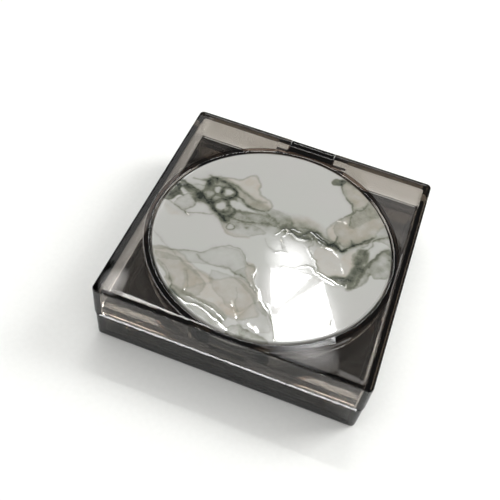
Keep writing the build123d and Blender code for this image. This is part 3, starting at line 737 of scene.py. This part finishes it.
def paint(x, y):
    """Ink, warm tint, cream flecks with one painted highlight, and raised ridges, each from 0 to 1."""
    wx, wy = x + wander(x, y, 3), y + wander(x, y, 23)
    grain = fractal(x, y, 2.2, 41, 4)
    broken = swell(fractal(x, y, 1.6, 101, 2) + 0.12, 0.25)
    ink, warm, fleck_and_glint, ridge = (np.zeros_like(x) for _ in range(4))
    clear = 1.0
    for outline, fill, rim, fade, soft in WASHES:
        depth = depth_in(wx, wy, outline)
        body = fill * (1 + 0.7 * grain) + rim * np.exp(-np.maximum(depth, 0) / fade)
        ink = cover(ink, body * swell(depth, soft) + 1.3 * rim * bell(depth, 0.22))
    for outline, strength, rim, soft in TINTS:
        depth = depth_in(wx, wy, outline)
        warm = np.maximum(warm, np.clip(1.5 * strength * (0.8 + 0.5 * grain) * swell(depth, soft), 0, 1))
        edge = bell(depth, 0.35)
        ink = cover(ink, rim * edge)
        ridge = np.maximum(ridge, 0.5 * edge)
    for outline, strength, soft in CLEARS:
        clear = clear * (1 - strength * swell(depth_in(wx, wy, outline), soft))
    for points, width, start, end in VEINS:
        d, t = line_distance(wx, wy, smooth_line(points))
        strength = (start + (end - start) * t) * (1 + 0.4 * grain)
        ink = cover(ink, strength * bell(d, 0.82 * width * (1 + 0.5 * grain)))
        ink = cover(ink, HALO * strength * bell(d, min(2.2 * width + 0.25, 1.4)))
        ridge = np.maximum(ridge, bell(d, 0.2 + 0.3 * width))
    for cx, cy, r, width, strength in CELLS:
        d = np.abs(np.hypot(wx - cx, wy - cy) - r)
        ink = cover(ink, strength * bell(d, width))
        ink = cover(ink, HALO * strength * bell(d, 2.5 * width))
    for cx, cy, r, strength in SPOTS:
        ink = cover(ink, strength * (1 + 0.5 * grain) * bell(np.hypot(wx - cx, wy - cy), r))
    for points, width in FLECKS_AND_GLINT:
        d, _ = line_distance(wx, wy, smooth_line(points))
        fleck_and_glint = np.maximum(fleck_and_glint, broken * bell(d, 0.8 * width))
    return ink * clear, warm, fleck_and_glint, ridge


RIDGE_RISE = 0.012
FLECK_RISE = 0.022
WAVINESS = 0.006
DISC_EDGE = 0.3           # the radius of its rounded edge
DISC_GAP = 0.25           # taken off its solid's radius, so that a gap shows
DISC_SINK = 0.05          # taken off its height, as room for the veins and flecks
DISC_CELLS = 290
DISC_R, DISC_BOTTOM, DISC_TOP = place_of("marble_disc")
DISC_R -= DISC_GAP
DISC_TOP -= DISC_SINK


def disc_height(x, y):
    """The disc's upper face: flat with slight waves, raised veins and flecks."""
    *_, fleck_and_glint, ridge = paint(x, y + ROUND_Y)
    waves = WAVINESS * fractal(x, y, 18, 71, 2)
    inner = swell(DISC_R - 2 * DISC_EDGE - np.hypot(x, y), DISC_EDGE)
    return DISC_TOP + waves * inner + inner * (RIDGE_RISE * ridge + FLECK_RISE * fleck_and_glint)


edge_turns = [math.radians(a) for a in (18, 36, 54, 72, 90)]
edge_rings = [(DISC_R - DISC_EDGE * (1 - math.sin(a)), DISC_TOP - DISC_EDGE * (1 - math.cos(a)))
              for a in edge_turns]
stone = round_piece("marbled_disc", marbled_resin(), DISC_CELLS, DISC_R - DISC_EDGE,
                    disc_height, [*edge_rings, (DISC_R, DISC_BOTTOM)])
stone_points = np.array([v.co[:2] for v in stone.data.vertices]) / MM
for name, values in zip(("ink", "warm", "fleck_and_glint"), paint(*stone_points.T)):
    stone.data.attributes.new(name, "FLOAT", "POINT").data.foreach_set("value", values)
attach(stone, "lid")
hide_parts("marble_disc")

# -------- sponge and membrane

SPONGE_R, SPONGE_BOTTOM, SPONGE_TOP = place_of("sponge")
SPONGE_DIP = 0.25
SPONGE_PORE = 0.12
SPONGE_WAIST = 6.5        # the height where its side draws in
SOFT_CELLS = 150


def sponge_height(x, y):
    """The sponge's upper face: pores, and a dip worn by use."""
    worn = SPONGE_DIP * np.exp(-((x - 4) ** 2 + (y + 3) ** 2) / 220)
    pores = SPONGE_PORE * np.abs(fractal(x, y, 1.6, 81, 3))
    return SPONGE_TOP - worn - pores


sponge_side = [(SPONGE_R - 0.1, SPONGE_TOP - 0.7), (SPONGE_R, SPONGE_TOP - 2),
               (SPONGE_R - 0.2, SPONGE_WAIST), (SPONGE_R, SPONGE_BOTTOM + 1.2),
               (SPONGE_R - 0.6, SPONGE_BOTTOM)]
sponge = round_piece("wet_sponge", wet_sponge(), SOFT_CELLS, SPONGE_R - 0.5, sponge_height, sponge_side)
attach(sponge, "base")
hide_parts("sponge")

MEMBRANE_R, MEMBRANE_BOTTOM, _ = place_of("membrane")
MEMBRANE_T = 0.06
RIPPLE_R = (21, 26)


def membrane_dip(x, y):
    """The membrane's lower face: it lies on the sponge, with faint ripples near its clamped rim."""
    r, angle = np.hypot(x, y), np.arctan2(y, x)
    ripples = 0.012 * np.sin(23 * angle + 2 * fractal(x, y, 14, 95, 2)) * swell(r - RIPPLE_R[0], 8)
    return MEMBRANE_BOTTOM + 0.04 + 0.02 * fractal(x, y, 6, 91, 3) + ripples * swell(RIPPLE_R[1] - r, 2)


membrane = round_piece("membrane_cloth", membrane_cloth(), SOFT_CELLS, MEMBRANE_R,
                       lambda x, y: membrane_dip(x, y) + MEMBRANE_T,
                       [(MEMBRANE_R, MEMBRANE_BOTTOM + MEMBRANE_T)], membrane_dip)
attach(membrane, "base")
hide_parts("membrane")

# -------- puff

PUFF_R, PUFF_BOTTOM, PUFF_SEAM = place_of("puff_foam")
SIM_SCALE = 20            # the cloth swells at this scale, so that its pressure acts as on a large pad
SIM_VOXEL = 0.017
SIM_PRESSURE = 4
SIM_FRAMES = 20
SWELL_CAP = 0.4 * MM      # how far a point may move, at the real scale


def swollen(ob):
    """Remesh the piece and blow it up by cloth pressure, with its motion capped."""
    points = np.array([v.co for v in ob.data.vertices]) * SIM_SCALE
    ob.data.vertices.foreach_set("co", points.ravel())
    remesh = ob.modifiers.new("remesh", "REMESH")
    remesh.mode = "VOXEL"
    remesh.voxel_size = SIM_VOXEL
    ob.data = evaluated_mesh(ob)
    ob.modifiers.clear()
    before = np.array([v.co for v in ob.data.vertices])
    cloth = ob.modifiers.new("cloth", "CLOTH")
    cloth.settings.use_pressure = True
    cloth.settings.uniform_pressure_force = SIM_PRESSURE
    cloth.settings.effector_weights.gravity = 0
    cloth.point_cache.frame_end = SIM_FRAMES
    for frame_number in range(1, SIM_FRAMES + 1):
        bpy.context.scene.frame_set(frame_number)
    after = np.array([v.co for v in evaluated_mesh(ob).vertices])
    ob.modifiers.clear()
    bpy.context.scene.frame_set(1)
    move = (after - before) / SIM_SCALE
    length = np.linalg.norm(move, axis=1, keepdims=True)
    move *= np.minimum(1, SWELL_CAP / np.maximum(length, 1e-9))
    ob.data.vertices.foreach_set("co", (before / SIM_SCALE + move).ravel())
    ob.data.update()


def evaluated_mesh(ob):
    """A new mesh of the piece with its modifiers."""
    return bpy.data.meshes.new_from_object(ob.evaluated_get(bpy.context.evaluated_depsgraph_get()))


PUFF_CELLS = 60
PUFF_MARGIN = 1e-5        # metres between the swollen pad and its CAD solid's faces
PUFF_START_R = PUFF_R - 0.75
PUFF_START_BOTTOM = PUFF_BOTTOM + 0.35
PUFF_START_TOP = PUFF_SEAM - 0.3
pad_side = [(PUFF_START_R, PUFF_START_TOP - 0.5), (PUFF_START_R, PUFF_START_BOTTOM + 0.8),
            (PUFF_START_R - 0.3, PUFF_START_BOTTOM + 0.25), (PUFF_START_R - 0.9, PUFF_START_BOTTOM)]
pad = round_piece("puff_pad", foam_skin(), PUFF_CELLS, PUFF_START_R - 0.5,
                  lambda x, y: np.full_like(x, PUFF_START_TOP), pad_side)
swollen(pad)
pad_points = np.array([v.co for v in pad.data.vertices])
pad_points[:, 2] = np.clip(pad_points[:, 2], PUFF_BOTTOM * MM + PUFF_MARGIN, PUFF_SEAM * MM - PUFF_MARGIN)
middle = np.array([0, ROUND_Y * MM])
from_middle = pad_points[:, :2] - middle
over = np.linalg.norm(from_middle, axis=1, keepdims=True) / (PUFF_R * MM - PUFF_MARGIN)
pad_points[:, :2] = middle + from_middle / np.maximum(over, 1)
pad.data.vertices.foreach_set("co", pad_points.ravel())
pad.data.materials.clear()
pad.data.materials.append(bpy.data.materials["puff_foam"])
pad.data.shade_smooth()
subdivision = pad.modifiers.new("subdivision", "SUBSURF")
subdivision.levels = subdivision.render_levels = 1
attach(pad, "inner_lid")
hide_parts("puff_foam")

BACKING_T = 0.14
BACKING_CROWN = 0.26
WELD_R = PUFF_R - 1.1
WELD_DEPTH = 0.05


def backing_under(x, y):
    """The backing's lower face: a low crown inside a welded groove, with puckers running in from it."""
    r, angle = np.hypot(x, y), np.arctan2(y, x)
    crown = BACKING_CROWN * np.maximum(1 - (r / WELD_R) ** 2, 0)
    groove = WELD_DEPTH * bell(r - WELD_R, 0.45)
    lip = 0.06 * swell(r - WELD_R - 0.4, 0.4)
    puckers = 0.035 * np.sin(31 * angle + 3 * fractal(x, y, 9, 61, 2)) * bell(r - WELD_R + 1.6, 1.2)
    return PUFF_SEAM + 0.06 + crown - groove + lip + puckers


puff_knit = knit("puff_cloth", (0.008, 0.008, 0.009), (0.035, 0.035, 0.038), 2600, 1, 0.3)
backing = round_piece("puff_back_cloth", puff_knit, SOFT_CELLS, PUFF_R - 0.15,
                      lambda x, y: backing_under(x, y) + BACKING_T,
                      [(PUFF_R - 0.05, PUFF_SEAM + 0.2), (PUFF_R - 0.05, PUFF_SEAM + 0.14)], backing_under)
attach(backing, "inner_lid")
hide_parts("puff_backing")

RIBBON_LOW, RIBBON_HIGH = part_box("puff_ribbon")
RIBBON_WIDTH = (RIBBON_HIGH.y - RIBBON_LOW.y) / MM
RIBBON_REACH = RIBBON_HIGH.x / MM
RIBBON_T = 0.12
RIBBON_RISE = 0.42
RIBBON_SPANS, RIBBON_ROWS = 120, 40


def ribbon_height(x, y):
    """The ribbon's lower face: a slack bridge over the backing, creased where its ends are sewn in."""
    u = x / RIBBON_REACH
    rise = RIBBON_RISE * (1 - u**4)
    crease = 0.03 * np.sin(5.2 * y + 1.3) * swell(np.abs(u) - 0.72, 0.2)
    return PUFF_SEAM + 0.3 + rise + crease + 0.03 * np.cos(2 * math.pi * y / RIBBON_WIDTH) * (1 - u**2)


def ribbon():
    """A closed flat strip with thicker selvedges."""
    u = np.linspace(-1, 1, RIBBON_SPANS + 1)
    v = np.linspace(-0.5, 0.5, RIBBON_ROWS + 1)
    u, v = np.meshgrid(u, v, indexing="ij")
    y = v * RIBBON_WIDTH
    x = u * np.sqrt(RIBBON_REACH**2 - y**2)
    low = ribbon_height(x, y)
    selvedge = 0.05 * swell(np.abs(y) - RIBBON_WIDTH / 2 + 0.6, 0.3)
    sheets = [np.stack([x, y + ROUND_Y, z], -1).reshape(-1, 3) for z in (low + RIBBON_T + selvedge, low)]
    index = np.arange(u.size).reshape(u.shape)
    top, rim = grid_quads(index), grid_rim(index)
    faces = top + [tuple(i + u.size for i in reversed(f)) for f in top]
    faces += [(rim[k], rim[k] + u.size, rim[k - 1] + u.size, rim[k - 1]) for k in range(len(rim))]
    return mesh_object("puff_ribbon_strip", np.vstack(sheets) * MM, faces,
                       knit("ribbon", (0.006, 0.006, 0.007), (0.05, 0.05, 0.055), 5200, 12, 0.5))


strip = ribbon()
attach(strip, "inner_lid")
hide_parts("puff_ribbon")

# -------- floor, camera, light

FLOOR_HALF = 8.0
FLOOR_Z = -0.05 * MM        # just clear of the case, so that the faces don't lie in one plane


def paper():
    """A pale sheet of background paper with a faint tooth."""
    mat, nt, out = new_material("floor")
    tooth = noise(nt, coords(nt), 700, 3)
    colour = patchy(nt, tooth, (0.88, 0.885, 0.86), (0.9, 0.905, 0.88))
    principled(nt, out, Base_Color=colour, Roughness=0.7)
    return mat


floor_corners = [(x * FLOOR_HALF, y * FLOOR_HALF, FLOOR_Z) for x, y in ((-1, -1), (1, -1), (1, 1), (-1, 1))]
floor = mesh_object("floor", floor_corners, [(0, 1, 2, 3)], paper())

# the view: degrees and metres
AZIMUTH, ELEVATION, DISTANCE, ROLL = 12.318, 51.707, 0.235991, 9.561
TARGET = Vector((-0.00832, 0.007582, 0))
LENS = 53.17
az, el, roll = (math.radians(a) for a in (AZIMUTH, ELEVATION, ROLL))
back = Vector((math.sin(az) * math.cos(el), -math.cos(az) * math.cos(el), math.sin(el)))
right = (-back).cross(Vector((0, 0, 1))).normalized()
up = right.cross(-back)
right, up = right * math.cos(roll) + up * math.sin(roll), up * math.cos(roll) - right * math.sin(roll)
camera = bpy.data.objects.new("camera", bpy.data.cameras.new("camera"))
camera.data.lens = LENS
camera.data.clip_start = 0.01
place = Matrix((right, up, back)).transposed().to_4x4()
place.translation = TARGET + back * DISTANCE
camera.matrix_world = place
bpy.context.scene.collection.objects.link(camera)
bpy.context.scene.camera = camera

CEILING, HORIZON = 0.14, 1.0  # the sky's brightness
world = bpy.data.worlds.new("studio")
bpy.context.scene.world = world
world.use_nodes = True
sky = world.node_tree
direction = node(sky, "ShaderNodeTexCoord").outputs["Generated"]
height = node(sky, "ShaderNodeSeparateXYZ", {"Vector": direction}).outputs["Z"]
glow = map_range(sky, height, 0.15, 0.6, HORIZON, CEILING)
sky.links.new(glow, sky.nodes["Background"].inputs["Strength"])
sky.nodes["Background"].inputs["Color"].default_value = (1.0, 1.0, 1.0, 1)
bpy.context.scene.view_settings.view_transform = "Standard"

LID_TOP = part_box("lid_shell")[1].z
PANEL_Z = 1.6             # metres, far above the case


def emission(name, strength):
    """A white glowing material: the material, its tree and its shader."""
    mat, nt, out = new_material(name)
    glow = node(nt, "ShaderNodeEmission", {"Strength": strength})
    nt.links.new(glow.outputs["Emission"], out.inputs["Surface"])
    return mat, nt, glow


def panel(name, corners, strength, soft=False):
    """A bright pane high up, mirrored at these corners (mm) on the lid's top; a soft one fades out."""
    eye = camera.matrix_world.translation
    points = []
    for x, y in corners:
        p = Vector((x * MM, y * MM, LID_TOP))
        ray = p - eye
        ray.z = -ray.z
        points.append(p + ray * ((PANEL_Z - LID_TOP) / ray.z))
    mat, nt, glow = emission(name, strength)
    if soft:
        spread = node(nt, "ShaderNodeTexCoord").outputs["Generated"]
        centred = node(nt, "ShaderNodeMapping", {
            "Vector": spread, "Location": (-1, -1, 0), "Scale": (2, 2, 0)})
        fade = node(nt, "ShaderNodeTexGradient", {"Vector": centred.outputs[0]}, gradient_type="SPHERICAL")
        nt.links.new(map_range(nt, fade.outputs["Fac"], 0, 0.8, 0, strength), glow.inputs["Strength"])
    mesh_object(name, points, [tuple(range(len(points)))], mat, smooth=False)


def edge_panel(name, y, z, half_length, spread, strength):
    """A bright pane before the case, mirrored by an edge along X broken at 45 degrees."""
    edge_normal = Vector((0, -1, 1)).normalized()
    left, right = -half_length, half_length
    corners = []
    for x, tilt in ((left, -spread), (right, -spread), (right, spread), (left, spread)):
        p = Vector((x, y, z)) * MM
        view = (camera.matrix_world.translation - p).normalized()
        ray = 2 * view.dot(edge_normal) * edge_normal - view
        ray.z += tilt
        corners.append(p + ray * PANEL_Z)
    mat, *_ = emission(name, strength)
    pane = mesh_object(name, corners, [(0, 1, 2, 3)], mat, smooth=False)
    pane.visible_diffuse = False


def arc(radius, start, end):
    """Points on a circle about the round pieces' axis, from one angle to another in degrees."""
    angles = [math.radians(a) for a in np.linspace(start, end, 90)]
    return [(radius * math.cos(a), radius * math.sin(a) + ROUND_Y) for a in angles]


def soft_light(name, position, size, power):
    """A square area light aimed at the object, too soft to show in its gloss."""
    light = bpy.data.lights.new(name, "AREA")
    light.size = size
    light.energy = power
    ob = bpy.data.objects.new(name, light)
    ob.location = position
    ob.visible_glossy = False
    ob.rotation_euler = (-Vector(position)).to_track_quat("-Z", "Y").to_euler()
    bpy.context.scene.collection.objects.link(ob)


panel("pane_left", [(2.7, -12.2), (14.5, -10.5), (9.2, -23.8), (7, -24.5)], 20)
pane_right = [(17.5, -11), (25, -24.5), (26.3, -29), (20.5, -32.8), (11.2, -36.2), (9, -29), (10, -24)]
panel("pane_right", pane_right, 20)
panel("pane_foot", [(27, -28), (30, -38), (12, -40), (8, -33), (20, -28)], 6, soft=True)
panel("pane_glow", [(-1, 0), (15, 0), (15, -14), (-1, -14)], 9, soft=True)
panel("side_glint", [(-38.5, -28), (-32, -29), (-30.5, -38), (-38.5, -40)], 6, soft=True)
panel("side_line", [(-34.9, 33), (-34.5, 33), (-34.9, -27), (-35.5, -27)], 7)
panel("side_band", [(-38.4, 37), (-34, 37), (-34, -30), (-38.4, -30)], 1.2)
panel("back_left", [(-34, 34), (-16, 36), (-34, 16)], 0.4)
panel("back_right", [(16, 35), (36, 35), (36, 10)], 1.2)
panel("front_line", [(-37.6, -35.9), (-20, -36.9), (4, -37.2), (4, -37.5), (-37.6, -37.4)], 12)
panel("ring_line", [*arc(36.7, 165, 252), *arc(36.95, 252, 165)], 4)
panel("back_line", [(-37.5, 37.75), (37.5, 37.75), (37.5, 38.05), (-37.5, 38.05)], 4)
panel("right_line", [(36.1, 8), (36.5, 8), (36.5, -36), (36.1, -36)], 3)
panel("foot_wedge", [(4, -37.4), (36.4, -37.4), (36, -36.4), (22, -35.4)], 2)
panel("streak_inner", [*arc(37.4, 278, 322), *arc(37.7, 322, 278)], 5)
panel("streak_middle", [*arc(38.4, 291, 318), *arc(38.8, 318, 291)], 4)
panel("streak_outer", [*arc(39.8, 298, 312), *arc(40.3, 312, 298)], 3)
panel("rim_line", [*arc(35.27, 0, 359.9), *arc(35.45, 359.9, 0)], 5)
panel("block_line", [(-7.2, 35.8), (7.2, 35.8), (7.2, 36.02), (-7.2, 36.02)], 5)
panel("seam_strip", [(-38, -39.8), (40, -39.8), (40, -44), (-38, -44)], 40)
edge_panel("seam_glow", -38.7, 10.0, 41, 0.035, 17)
soft_light("key", (0.6, 0.45, 0.65), 0.4, 5)
soft_light("top", (0, 0, 1.3), 2.4, 18.5)
